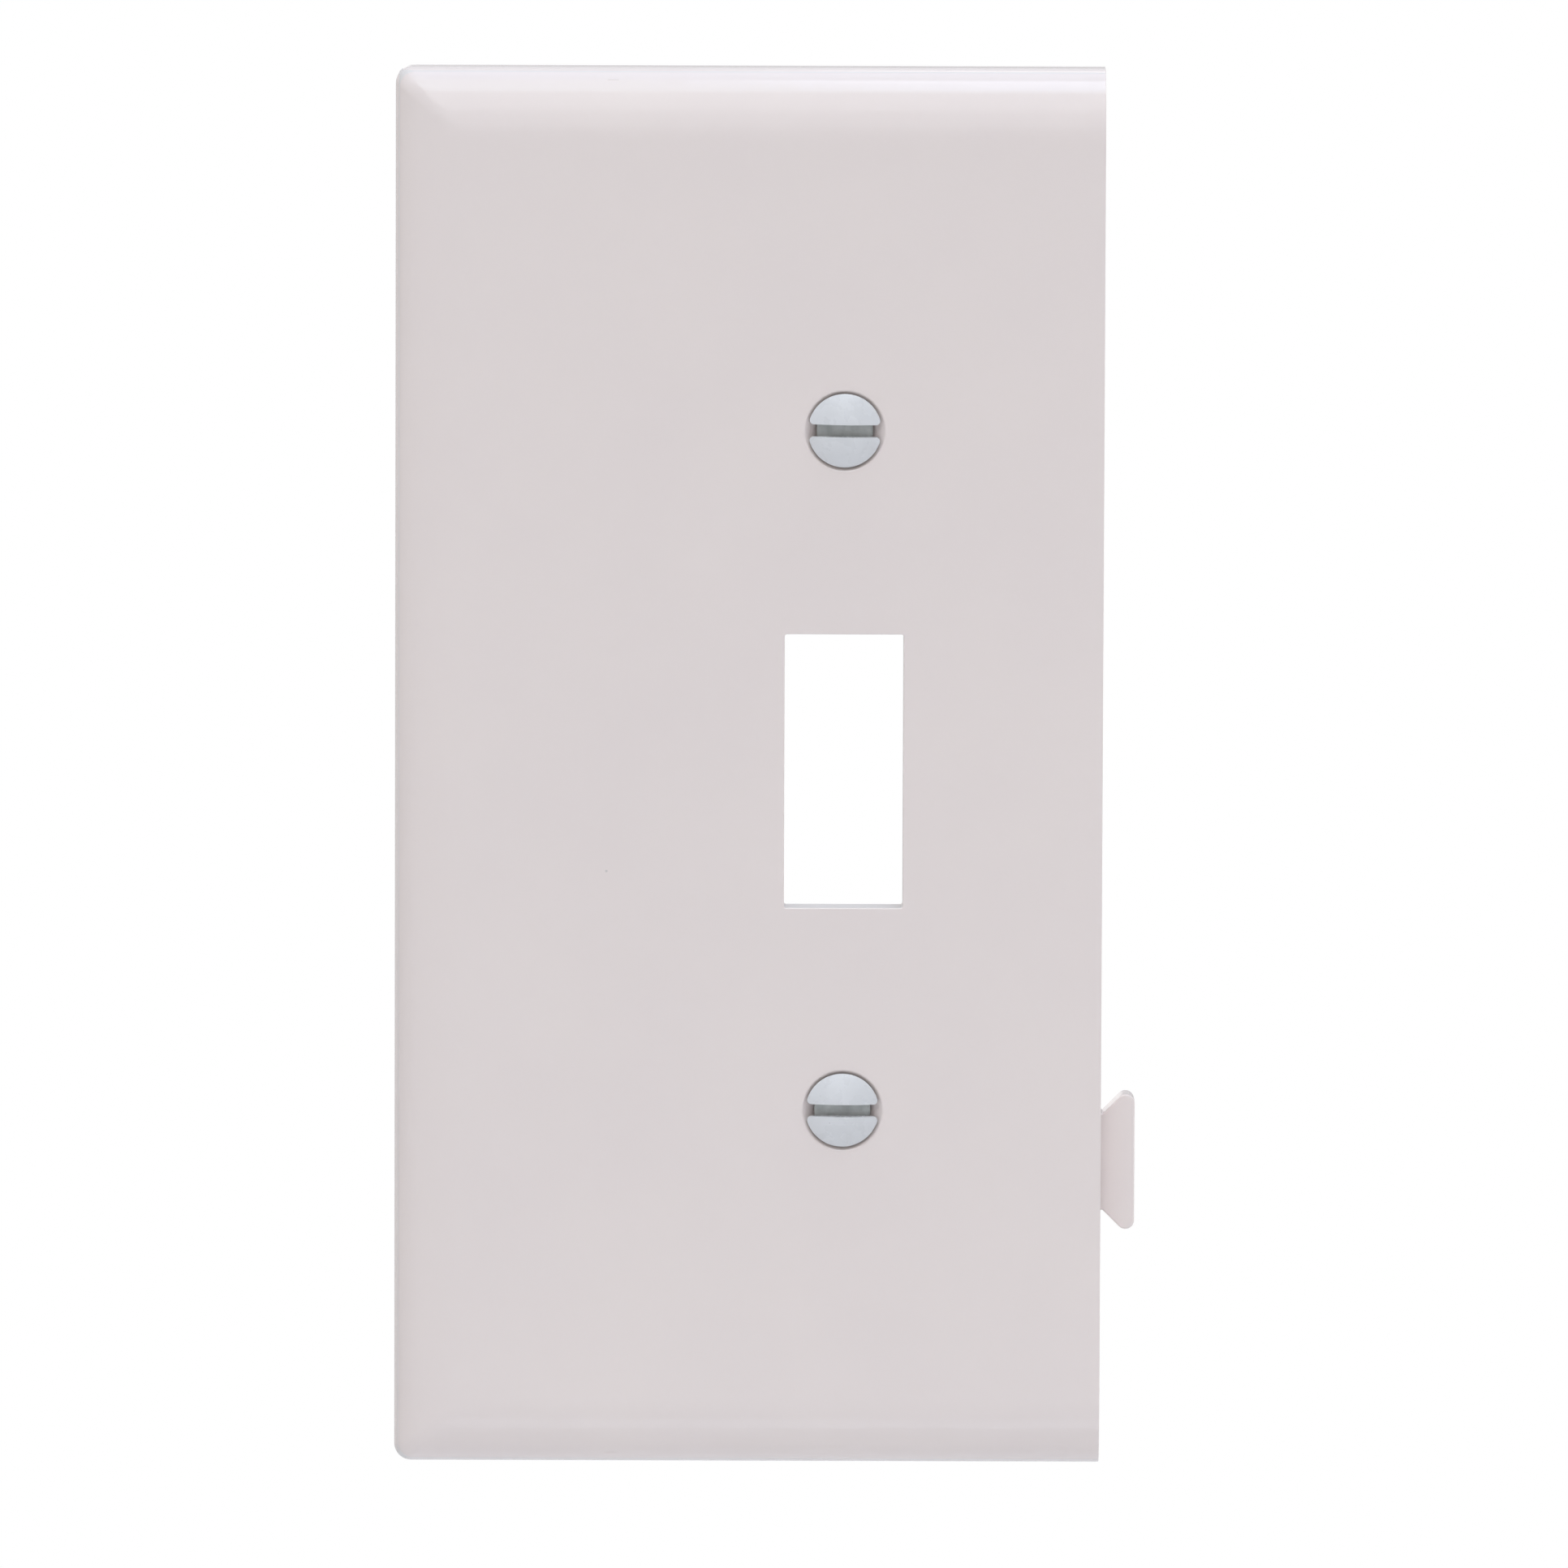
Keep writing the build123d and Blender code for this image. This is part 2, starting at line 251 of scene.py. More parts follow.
def freeze(piece):
    """Applies every modifier on a piece."""
    graph = bpy.context.evaluated_depsgraph_get()
    mesh = bpy.data.meshes.new_from_object(piece.evaluated_get(graph))
    piece.modifiers.clear()
    old = piece.data
    piece.data = mesh
    mesh.name = piece.name
    bpy.data.meshes.remove(old)


def round_edges(piece, radius, segments, wanted):
    """Rounds the edges that wanted(edge) picks."""
    bm = bmesh.new()
    bm.from_mesh(piece.data)
    bmesh.ops.bevel(
        bm,
        geom=[edge for edge in bm.edges if edge.is_manifold and wanted(edge)],
        offset=radius * MM,
        segments=segments,
        profile=0.5,
        affect="EDGES",
        clamp_overlap=True,
    )
    bm.to_mesh(piece.data)
    bm.free()


def finish_mesh(piece, sharp_degrees=32):
    """Welds, drops slivers, and shades smooth up to an angle, with flats kept flat."""
    bm = bmesh.new()
    bm.from_mesh(piece.data)
    bmesh.ops.remove_doubles(bm, verts=bm.verts, dist=0.002 * MM)
    bmesh.ops.dissolve_degenerate(bm, edges=bm.edges, dist=0.001 * MM)
    bmesh.ops.recalc_face_normals(bm, faces=bm.faces)
    bm.to_mesh(piece.data)
    bm.free()
    for polygon in piece.data.polygons:
        polygon.use_smooth = True
    piece.data.set_sharp_from_angle(angle=math.radians(sharp_degrees))
    weighted = piece.modifiers.new("weighted", "WEIGHTED_NORMAL")
    weighted.keep_sharp = True
    weighted.mode = "FACE_AREA"
    weighted.weight = 90
    freeze(piece)


# ---- the plate ----
def bevel_profile(tight_steps=22, shallow_steps=26):
    """Inset and height along the bevel, from the rim's top to the flat of the face."""
    points = []
    quarter = math.pi / 2
    for step in range(tight_steps + 1):
        tilt = quarter + (KNEE_TILT - quarter) * step / tight_steps
        points.append((TIGHT_RADIUS * (1 - math.sin(tilt)), RIM_HEIGHT + TIGHT_RADIUS * math.cos(tilt)))
    for step in range(1, shallow_steps + 1):
        tilt = KNEE_TILT * (1 - step / shallow_steps)
        height = PLATE_DEPTH - SHALLOW_RADIUS * (1 - math.cos(tilt))
        points.append((BEVEL_WIDTH - SHALLOW_RADIUS * math.sin(tilt), height))
    return points


def plate_ring(inset, height, steps=18):
    """One ring of the outer form, from the joint edge round the two free corners and back to it."""
    radius = CREASE_CORNER + (OUTLINE_CORNER - CREASE_CORNER) * (1 - inset / BEVEL_WIDTH) ** 3
    left = inset - OUTER_REACH + radius
    top = HALF_HEIGHT - inset - radius
    points = [(JOINT_REACH, inset - HALF_HEIGHT)]
    points += arc((left, -top), radius, 270, 180, steps)
    points += arc((left, top), radius, 180, 90, steps)
    points.append((JOINT_REACH, HALF_HEIGHT - inset))
    return [(x, height, z) for x, z in points]


def plate_blank():
    """The outer form, with the joint side as one flat face whose front edge is rounded."""
    bm = bmesh.new()
    profile = [(0.0, 0.0)] + bevel_profile()
    rings = [[bm.verts.new(point) for point in plate_ring(inset, height)] for inset, height in profile]
    for low, high in zip(rings, rings[1:]):
        for i in range(len(low) - 1):
            bm.faces.new((low[i], low[i + 1], high[i + 1], high[i]))
    bm.faces.new(rings[0])
    bm.faces.new(rings[-1])
    bm.faces.new([ring[0] for ring in rings] + [ring[-1] for ring in reversed(rings)])
    piece = piece_from(bm, "plate_moulding")

    def on_front_of_joint(edge):
        at_joint = all(abs(vert.co.x / MM - JOINT_REACH) < SMALL for vert in edge.verts)
        return at_joint and all(-vert.co.y / MM > RIM_HEIGHT - SMALL for vert in edge.verts)

    round_edges(piece, JOINT_EDGE_RADIUS, 5, on_front_of_joint)
    return piece


def dovetail(root_x, direction, grow):
    """The dovetail's flat outline in (x, z), from a strip behind its root."""
    slack = grow * (math.sqrt(2) - 1)
    tip_x = root_x + direction * (TONGUE_LENGTH + grow)
    back_x = root_x - direction * MARGIN
    root_half = TONGUE_ROOT_HALF + grow + slack
    tip_half = TONGUE_ROOT_HALF + TONGUE_LENGTH + 2 * grow + slack
    strip_half = root_half + MARGIN
    half = [(back_x, strip_half), (root_x, strip_half), (root_x, root_half), (tip_x, tip_half)]
    corners = half + [(x, -z) for x, z in reversed(half)]
    radii = [0, 0, TONGUE_ROOT_RADIUS, TONGUE_TIP_RADIUS, TONGUE_TIP_RADIUS, TONGUE_ROOT_RADIUS, 0, 0]
    return rounded_outline(corners, radii, 10)


def tongue():
    piece = prism(shifted(dovetail(JOINT_REACH, 1, 0), 0, -DOVETAIL_DROP), 0, TONGUE_THICKNESS)

    def on_front(edge):
        return all(abs(-vert.co.y / MM - TONGUE_THICKNESS) < SMALL for vert in edge.verts)

    round_edges(piece, TONGUE_EDGE_RADIUS, 4, on_front)
    return piece


def cavity():
    left = RIM_WALL - OUTER_REACH
    right = JOINT_REACH - JOINT_WALL
    outline = rectangle(right - left, 2 * (HALF_HEIGHT - RIM_WALL), CAVITY_CORNER)
    piece = prism(shifted(outline, (left + right) / 2, 0), -MARGIN, CAVITY_DEPTH)

    def on_floor(edge):
        return all(abs(-vert.co.y / MM - CAVITY_DEPTH) < SMALL for vert in edge.verts)

    round_edges(piece, CAVITY_FLOOR_RADIUS, 6, on_floor)
    return piece


def socket_block():
    half = TONGUE_ROOT_HALF + TONGUE_LENGTH + SOCKET_SURROUND
    left = GANG_PITCH - JOINT_REACH - TONGUE_LENGTH - SOCKET_CLEARANCE - SOCKET_SURROUND
    right = JOINT_REACH - JOINT_WALL / 2
    corners = [(left, -half), (right, -half), (right, half), (left, half)]
    outline = rounded_outline(corners, [CAVITY_CORNER, 0, 0, CAVITY_CORNER])
    return prism(shifted(outline, 0, DOVETAIL_DROP), 0, CAVITY_DEPTH + MARGIN)


def seat_tool(z):
    """The countersink and the clearance hole behind it."""
    depth = (SEAT_RADIUS - HOLE_RADIUS) / SEAT_SLOPE
    flare = SEAT_RADIUS + MARGIN * SEAT_SLOPE
    profile = [
        (0, PLATE_DEPTH + MARGIN),
        (flare, PLATE_DEPTH + MARGIN),
        (HOLE_RADIUS, PLATE_DEPTH - depth),
        (HOLE_RADIUS, -MARGIN),
        (0, -MARGIN),
    ]
    return lathe(profile, z, 128)


def plate_moulding():
    piece = plate_blank()
    combine(piece, cavity(), "DIFFERENCE")
    low = CAVITY_DEPTH - RIB_RISE
    high = CAVITY_DEPTH + MARGIN
    half = RIB_WIDTH / 2
    end = HALF_HEIGHT - RIM_WALL / 2
    added = [block(RIB_X - half, RIB_X + half, -end, end, low, high)]
    collar = rectangle(OPENING_WIDTH + 2 * OPENING_LIP, OPENING_HEIGHT + 2 * OPENING_LIP, CAVITY_CORNER)
    added.append(prism(collar, PLATE_DEPTH - OPENING_WALL, high))
    added.append(socket_block())
    for side in (1, -1):
        z = side * SCREW_SPACING / 2
        added.append(lathe([(0, BOSS_END), (BOSS_RADIUS, BOSS_END), (BOSS_RADIUS, high), (0, high)], z))
    added.append(tongue())
    for tool in added:
        combine(piece, tool, "UNION")
    socket = shifted(dovetail(GANG_PITCH - JOINT_REACH, -1, SOCKET_CLEARANCE), 0, DOVETAIL_DROP)
    opening = rectangle(OPENING_WIDTH, OPENING_HEIGHT, OPENING_CORNER, 4)
    removed = [prism(socket, -MARGIN, CAVITY_DEPTH), prism(opening, -MARGIN, PLATE_DEPTH + MARGIN)]
    removed += [seat_tool(side * SCREW_SPACING / 2) for side in (1, -1)]
    for x, z in EJECTOR_PLACES:
        mark = shifted(arc((0, 0), EJECTOR_RADIUS, 0, 352.5, 47), x, z)
        removed.append(prism(mark, 0, CAVITY_DEPTH + EJECTOR_DEPTH))
    for tool in removed:
        combine(piece, tool, "DIFFERENCE")

    def front_opening_edge(edge):
        on_face = all(abs(-vert.co.y / MM - PLATE_DEPTH) < SMALL for vert in edge.verts)
        return on_face and edge.calc_face_angle(0) > math.radians(20)

    round_edges(piece, FRONT_EDGE_RADIUS, 4, front_opening_edge)
    finish_mesh(piece)
    return piece


# ---- the screws ----
def head_profile():
    """The head's half section, from the dome's middle to the start of the shank."""
    dome_base = HEAD_RIM_HEIGHT + HEAD_LAND
    dome_radius = (HEAD_RADIUS**2 + DOME_RISE**2) / (2 * DOME_RISE)
    centre = dome_base + DOME_RISE - dome_radius
    full = math.asin(HEAD_RADIUS / dome_radius)
    points = []
    steps = 22
    stop = full * 0.975
    for step in range(steps + 1):
        tilt = stop * step / steps
        points.append((dome_radius * math.sin(tilt), centre + dome_radius * math.cos(tilt)))
    points.append((HEAD_RADIUS - 0.02, dome_base + 0.005))
    points.append((HEAD_RADIUS, dome_base - 0.035))
    points.append((HEAD_RADIUS, HEAD_RIM_HEIGHT))
    return points


def thread_groove(z):
    """The helical groove between the thread's crests, as a closed cutting tool."""
    segments = 40
    tip = HEAD_RIM_HEIGHT - SCREW_LENGTH
    turns = (NECK_END - tip) / THREAD_PITCH + 1
    root = THREAD_RADIUS - THREAD_DEPTH
    outside = THREAD_RADIUS + 0.25
    crest_half = THREAD_PITCH * THREAD_CREST_SHARE
    root_half = THREAD_ROOT_WIDTH / 2
    count = int(turns * segments)
    run_out = segments * THREAD_RUN_OUT
    bm = bmesh.new()
    rings = []
    for i in range(count + 1):
        angle = -2 * math.pi * i / segments
        height = NECK_END - THREAD_PITCH * i / segments
        shallow = max(0.0, 1 - i / run_out)
        rise = shallow * (THREAD_DEPTH + 0.03)
        across = [
            (root + rise, root_half),
            (THREAD_RADIUS + rise, crest_half),
            (outside + rise, crest_half),
            (outside + rise, -crest_half),
            (THREAD_RADIUS + rise, -crest_half),
            (root + rise, -root_half),
        ]
        rings.append(
            [bm.verts.new((r * math.cos(angle), height + dh, z + r * math.sin(angle))) for r, dh in across]
        )
    for low, high in zip(rings, rings[1:]):
        for i in range(len(low)):
            j = (i + 1) % len(low)
            bm.faces.new((low[i], low[j], high[j], high[i]))
    bm.faces.new(rings[0])
    bm.faces.new(rings[-1])
    return piece_from(bm, "tool")


def slot_tool(z):
    """The driver slot, bevelled where its floor runs out at each end."""
    floor = HEAD_RIM_HEIGHT - SLOT_DEPTH
    floor_half = HEAD_RADIUS - SLOT_DEPTH * SEAT_SLOPE - SLOT_END_BEVEL
    wide = 2 * HEAD_RADIUS
    front = PLATE_DEPTH + 2 * MARGIN
    drop = floor - (wide - floor_half) * math.tan(math.radians(SLOT_END_TILT))
    right = [(wide, front), (wide, drop), (floor_half, floor)]
    side = right + [(-x, height) for x, height in reversed(right)]
    half = SLOT_WIDTH / 2
    return loft([[(x, height, z + across) for x, height in side] for across in (-half, half)])


def mouth_tool(z, side):
    """Rounds the two corners where the slot runs out through the head's rim at one end."""
    half = SLOT_WIDTH / 2 + SLOT_MOUTH_RADIUS
    lower = arc((SLOT_MOUTH, -half), SLOT_MOUTH_RADIUS, 90, 90 - SLOT_MOUTH_SWEEP, 6)
    upper = [(x, -across) for x, across in reversed(lower)]
    outside = HEAD_RADIUS + 0.55
    outline = lower + [(outside, -1.3), (outside, 1.3)] + upper
    if side < 0:
        outline = [(-x, across) for x, across in reversed(outline)]
    return prism(shifted(outline, 0, z), HEAD_RIM_HEIGHT - SLOT_MOUTH_DEPTH, PLATE_DEPTH + 2 * MARGIN)


def screw_piece(side, z):
    """A whole screw: oval head, cone, neck, thread and chamfered tip, then its slot."""
    tip = HEAD_RIM_HEIGHT - SCREW_LENGTH
    profile = head_profile() + [
        (NECK_RADIUS, HEAD_RIM_HEIGHT - (HEAD_RADIUS - NECK_RADIUS) / SEAT_SLOPE),
        (NECK_RADIUS, NECK_END),
        (THREAD_RADIUS, NECK_END - THREAD_RADIUS + NECK_RADIUS),
        (THREAD_RADIUS, tip + TIP_CHAMFER),
        (THREAD_RADIUS - TIP_CHAMFER, tip),
        (0, tip),
    ]
    piece = lathe(profile, z, 120, f"{side}_screw_threaded")
    combine(piece, thread_groove(z), "DIFFERENCE")
    combine(piece, slot_tool(z), "DIFFERENCE")
    for end in (1, -1):
        combine(piece, mouth_tool(z, end), "DIFFERENCE")

    def slot_lip(edge):
        on_wall = all(abs(abs(vert.co.z / MM - z) - SLOT_WIDTH / 2) < SMALL for vert in edge.verts)
        outside = all(-vert.co.y / MM > HEAD_RIM_HEIGHT + HEAD_LAND for vert in edge.verts)
        return on_wall and outside and edge.calc_face_angle(0) > math.radians(30)

    round_edges(piece, SLOT_LIP_RADIUS, 3, slot_lip)
    turn = Matrix.Rotation(math.radians(SLOT_TILTS[side]), 4, "Y")
    axis = Matrix.Translation((0, 0, z * MM))
    piece.data.transform(axis @ turn @ axis.inverted())
    cone_depth = (HEAD_RADIUS - NECK_RADIUS) / SEAT_SLOPE
    for vert in piece.data.vertices:
        share = min(1.0, max(0.0, 1 + (-vert.co.y / MM - HEAD_RIM_HEIGHT) / cone_depth))
        vert.co.x += HEAD_SHIFT[0] * MM * share
        vert.co.z += HEAD_SHIFT[1] * MM * share
    finish_mesh(piece, 30)
    return piece


def washer_piece(side, z):
    """A flat ring with its rims broken, turned as a closed loop."""
    front = WASHER_FRONT
    back = front - WASHER_THICKNESS
    bevel = WASHER_CHAMFER
    soft = 0.04
    loop = [
        (WASHER_HOLE_RADIUS, back + soft),
        (WASHER_HOLE_RADIUS + soft, back),
        (WASHER_RADIUS - bevel, back),
        (WASHER_RADIUS, back + bevel),
        (WASHER_RADIUS, front - bevel),
        (WASHER_RADIUS - bevel, front),
        (WASHER_HOLE_RADIUS + soft, front),
        (WASHER_HOLE_RADIUS, front - soft),
    ]
    bm = bmesh.new()
    segments = 96
    rings = []
    for i in range(segments):
        angle = 2 * math.pi * i / segments
        rings.append([bm.verts.new((r * math.cos(angle), h, z + r * math.sin(angle))) for r, h in loop])
    for i in range(segments):
        low, high = rings[i], rings[(i + 1) % segments]
        for k in range(len(loop)):
            m = (k + 1) % len(loop)
            bm.faces.new((low[k], low[m], high[m], high[k]))
    piece = piece_from(bm, f"{side}_washer_ring")
    finish_mesh(piece, 30)
    return piece


# ---- materials ----
def node_tree(name):
    material = bpy.data.materials.new(name)
    material.use_nodes = True
    tree = material.node_tree
    shader = tree.nodes["Principled BSDF"]
    place = tree.nodes.new("ShaderNodeTexCoord").outputs["Object"]
    return material, tree, shader, place


def noise(tree, place, scale, detail=2.0, roughness=0.5):
    node = tree.nodes.new("ShaderNodeTexNoise")
    node.inputs["Scale"].default_value = scale
    node.inputs["Detail"].default_value = detail
    node.inputs["Roughness"].default_value = roughness
    tree.links.new(place, node.inputs["Vector"])
    return node.outputs["Fac"]


def spread(tree, value, low, high, to_low, to_high):
    node = tree.nodes.new("ShaderNodeMapRange")
    for name, number in (("From Min", low), ("From Max", high), ("To Min", to_low), ("To Max", to_high)):
        node.inputs[name].default_value = number
    tree.links.new(value, node.inputs["Value"])
    return node.outputs["Result"]


def blend_colours(tree, factor, first, second):
    node = tree.nodes.new("ShaderNodeMix")
    node.data_type = "RGBA"
    tree.links.new(factor, node.inputs["Factor"])
    for socket, colour in ((node.inputs[6], first), (node.inputs[7], second)):
        if isinstance(colour, tuple):
            socket.default_value = (*colour, 1.0)
        else:
            tree.links.new(colour, socket)
    return node.outputs[2]


def bump(tree, shader, height, strength, distance):
    node = tree.nodes.new("ShaderNodeBump")
    node.inputs["Strength"].default_value = strength
    node.inputs["Distance"].default_value = distance
    tree.links.new(height, node.inputs["Height"])
    tree.links.new(node.outputs["Normal"], shader.inputs["Normal"])


def specks(tree, place, scale, size):
    """A sparse scatter of tiny dots: 1 on a dot, 0 elsewhere."""
    node = tree.nodes.new("ShaderNodeTexVoronoi")
    node.inputs["Scale"].default_value = scale
    tree.links.new(place, node.inputs["Vector"])
    return spread(tree, node.outputs["Distance"], size, size * 0.4, 0.0, 1.0)


def white_plastic():
    material, tree, shader, place = node_tree("white_plastic")
    mottle = spread(tree, noise(tree, place, 70, 3), 0.35, 0.65, 0.0, 1.0)
    base = blend_colours(tree, mottle, (0.856, 0.754, 0.728), (0.868, 0.765, 0.735))
    dusted = blend_colours(tree, specks(tree, place, 60, 0.012), base, (0.52, 0.47, 0.46))
    tree.links.new(dusted, shader.inputs["Base Color"])
    tree.links.new(spread(tree, noise(tree, place, 240, 4), 0.3, 0.7, 0.08, 0.12), shader.inputs["Roughness"])
    shader.inputs["IOR"].default_value = 1.55
    bump(tree, shader, noise(tree, place, 420, 3), 0.03, 0.0004)
    return material


# Material for the plate's back and the opening's walls: rougher than the face, with a base colour darker than
# the face's plastic as painted shade for these recessed, less lit faces.
def inner_plastic_painted_shade():
    material, tree, shader, place = node_tree("inner_plastic_painted_shade")
    mottle = spread(tree, noise(tree, place, 90, 3), 0.35, 0.65, 0.0, 1.0)
    # darker base colour: painted shade, not a different plastic
    tree.links.new(
        blend_colours(tree, mottle, (0.735, 0.685, 0.670), (0.760, 0.710, 0.695)), shader.inputs["Base Color"]
    )
    tree.links.new(spread(tree, noise(tree, place, 300, 4), 0.3, 0.7, 0.38, 0.52), shader.inputs["Roughness"])
    bump(tree, shader, noise(tree, place, 1600, 4), 0.15, 0.0002)
    return material


def white_paint():
    material, tree, shader, place = node_tree("white_paint")
    mottle = spread(tree, noise(tree, place, 500, 3), 0.35, 0.65, 0.0, 1.0)
    base = blend_colours(tree, mottle, (0.715, 0.705, 0.720), (0.745, 0.735, 0.752))
    chipped = blend_colours(tree, specks(tree, place, 900, 0.05), base, (0.42, 0.43, 0.45))
    tree.links.new(chipped, shader.inputs["Base Color"])
    tree.links.new(spread(tree, noise(tree, place, 900, 3), 0.3, 0.7, 0.22, 0.34), shader.inputs["Roughness"])
    bump(tree, shader, noise(tree, place, 1500, 3), 0.25, 0.0001)
    return material


def bare_steel():
    material, tree, shader, place = node_tree("bare_steel")
    mottle = spread(tree, noise(tree, place, 1200, 4), 0.3, 0.7, 0.0, 1.0)
    tree.links.new(
        blend_colours(tree, mottle, (0.44, 0.455, 0.445), (0.58, 0.59, 0.58)), shader.inputs["Base Color"]
    )
    shader.inputs["Metallic"].default_value = 1.0
    tree.links.new(spread(tree, noise(tree, place, 2500, 4), 0.3, 0.7, 0.3, 0.48), shader.inputs["Roughness"])
    bump(tree, shader, noise(tree, place, 3500, 3), 0.2, 0.00005)
    return material


def nylon():
    material, tree, shader, place = node_tree("nylon")
    mottle = spread(tree, noise(tree, place, 400, 3), 0.35, 0.65, 0.0, 1.0)
    tree.links.new(
        blend_colours(tree, mottle, (0.80, 0.775, 0.70), (0.84, 0.82, 0.75)), shader.inputs["Base Color"]
    )
    tree.links.new(spread(tree, noise(tree, place, 900, 3), 0.3, 0.7, 0.4, 0.55), shader.inputs["Roughness"])
    shader.inputs["Subsurface Weight"].default_value = 0.1
    shader.inputs["Subsurface Radius"].default_value = (0.001, 0.001, 0.0008)
    bump(tree, shader, noise(tree, place, 2000, 3), 0.15, 0.0001)
    return material


# ---- build the pieces ----
plate = plate_moulding()
plate.data.materials.append(white_plastic())
plate.data.materials.append(inner_plastic_painted_shade())
OUTER_SKIN = 0.3  # faces nearer to the outside than this keep the glossy plastic
for polygon in plate.data.polygons:
    x, y, z = (value / MM for value in polygon.center)
    within = OUTER_SKIN - OUTER_REACH < x < JOINT_REACH - OUTER_SKIN and abs(z) < HALF_HEIGHT - OUTER_SKIN
    behind = within and -y < CAVITY_DEPTH + EJECTOR_DEPTH + SMALL
    in_opening = abs(x) < OPENING_WIDTH / 2 + SMALL and abs(z) < OPENING_HEIGHT / 2 + SMALL
    in_opening = in_opening and -y < PLATE_DEPTH - FRONT_EDGE_RADIUS - SMALL
    # Index 1 gives the cavity side and the opening's walls the inner material, whose darker colour is painted
    # shade.
    polygon.material_index = 1 if behind or in_opening else 0
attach(plate, "plate")
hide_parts("plate_section")

PAINT_REACH = 0.3  # how far the paint runs down the head's cone, from its rim
paint, steel, washer_nylon = white_paint(), bare_steel(), nylon()
for side, z in (("upper", SCREW_SPACING / 2), ("lower", -SCREW_SPACING / 2)):
    screw = screw_piece(side, z)
    screw.data.materials.append(paint)
    screw.data.materials.append(steel)
    for polygon in screw.data.polygons:
        height = -polygon.center.y / MM
        across = polygon.center.z / MM - z - HEAD_SHIFT[1]
        in_slot = abs(across) < SLOT_WIDTH / 2 - 0.02 and height < HEAD_RIM_HEIGHT
        polygon.material_index = 1 if height < HEAD_RIM_HEIGHT - PAINT_REACH or in_slot else 0
    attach(screw, f"{side}_screw")
    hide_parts(f"{side}_screw")
    washer = washer_piece(side, z)
    washer.data.materials.append(washer_nylon)
    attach(washer, f"{side}_washer")
    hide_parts(f"{side}_retaining_washer")


# ---- camera ----
CAMERA_DISTANCE = 1.55246
CAMERA_ELEVATION = 6.089
CAMERA_AZIMUTH = -0.229
CAMERA_ROLL = 0.202
CAMERA_TARGET = Vector((-0.00525, 0.0, -0.00175))
FOCAL_IN_FRAMES = 11.170  # focal length over frame width

camera_data = bpy.data.cameras.new("camera")
camera_data.sensor_width = 36.0
camera_data.lens = camera_data.sensor_width * FOCAL_IN_FRAMES
camera_data.clip_end = 100.0
camera = bpy.data.objects.new("camera", camera_data)
bpy.context.scene.collection.objects.link(camera)
elevation, azimuth = math.radians(CAMERA_ELEVATION), math.radians(CAMERA_AZIMUTH)
towards_camera = Vector(
    (math.sin(azimuth) * math.cos(elevation), -math.cos(azimuth) * math.cos(elevation), math.sin(elevation))
)
camera.location = CAMERA_TARGET + CAMERA_DISTANCE * towards_camera
upright = (-towards_camera).to_track_quat("-Z", "Y").to_matrix().to_4x4()
roll = Matrix.Rotation(math.radians(CAMERA_ROLL), 4, "Z")
camera.rotation_euler = (upright @ roll).to_euler()
bpy.context.scene.camera = camera


# ---- floor, world and lights ----
LIGHT_LEVEL = 1.4  # how high over the plate's centre the overhead lights hang, in metres
AMBIENT = 0.4145  # the surrounding light's mean radiance
AMBIENT_SLOPE = (-0.286, 0.1285, 0.0)  # and how it grows along each axis: the left and the back are brighter
BEHIND_GLOW = 0.5  # what a small bright patch behind the plate adds, which the tongue's upper flank mirrors
GLOW_DIRECTION = (-0.105, 0.9945, 0.0)
GLOW_EDGE = (0.992, 0.9975)  # cosines of the angles from it where the patch starts and is full


def add_area(name, centre, size, radiance, colour=(1.0, 1.0, 1.0), aim=None, spin=0.0):
    """A rectangular softbox of a stated radiance. It faces straight down, or towards aim."""
    data = bpy.data.lights.new(name, "AREA")
    data.shape = "RECTANGLE"
    data.size, data.size_y = size
    data.energy = radiance * math.pi * size[0] * size[1]
    data.color = colour
    light = bpy.data.objects.new(name, data)
    light.location = centre
    if aim is not None:
        light.rotation_euler = (Vector(aim) - Vector(centre)).to_track_quat("-Z", "Y").to_euler()
    light.rotation_euler.z += math.radians(spin)
    light.visible_camera = False
    bpy.context.scene.collection.objects.link(light)


def overhead(name, span, degrees, radiance, colour=(1.0, 1.0, 1.0), spin=0.0, level=LIGHT_LEVEL):
    """A level softbox between two elevations, seen from the plate's centre; 90 is straight overhead.

    Its span is where its left and right ends would be at LIGHT_LEVEL.
    """
    left, right = (end * level / LIGHT_LEVEL for end in span)
    front, back = (-level / math.tan(math.radians(angle)) for angle in degrees)
    centre = ((left + right) / 2, (front + back) / 2, level)
    add_area(name, centre, (right - left, back - front), radiance, colour, spin=spin)


def floor_piece():
    """A pale floor well below the plate, ending behind it just out of the camera's view."""
    bm = bmesh.new()
    half, front, back, z = 3000, 3500, -1250, -300
    corners = [(-half, front), (half, front), (half, back), (-half, back)]
    bm.faces.new([bm.verts.new((x, height, z)) for x, height in corners])
    piece = piece_from(bm, "floor")
    material = bpy.data.materials.new("pale_floor")
    material.use_nodes = True
    shader = material.node_tree.nodes["Principled BSDF"]
    shader.inputs["Base Color"].default_value = (0.82, 0.82, 0.82, 1.0)
    shader.inputs["Roughness"].default_value = 0.7
    piece.data.materials.append(material)
    return piece


floor_piece()

